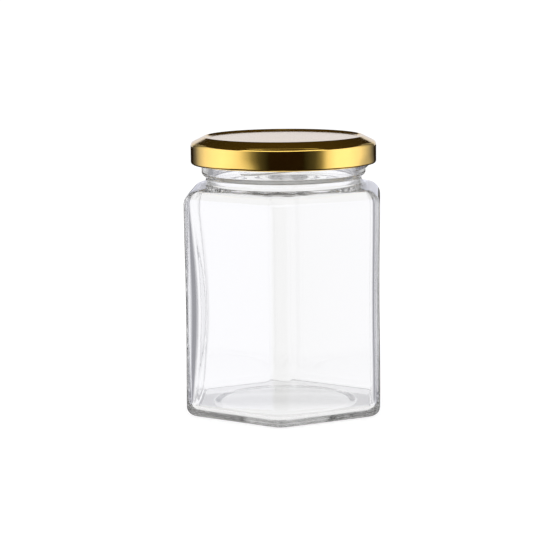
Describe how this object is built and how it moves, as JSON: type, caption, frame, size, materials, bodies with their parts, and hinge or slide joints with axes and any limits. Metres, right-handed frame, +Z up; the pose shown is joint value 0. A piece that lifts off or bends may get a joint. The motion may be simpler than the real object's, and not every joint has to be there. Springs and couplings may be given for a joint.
{
  "type": "hexagonal glass jar",
  "caption": "Hexagonal clear glass food jar with rounded edges, a short round neck and a gold metal twist-off lid.",
  "frame": {"origin": "middle of the flat ring that the jar stands on", "axes": "+Z up through the mouth and the lid; one vertical edge of the hexagon points along -Y, and two flat sides face +X and -X"},
  "size_m": [0.069, 0.0778, 0.0986],
  "materials": {
    "jar": "clear, smooth, moulded",
    "lid": "glossy gold lacquer on tinplate"
  },
  "bodies": {
    "root": {"jar": "jar", "lid": "lid"}
  },
  "joints": []
}
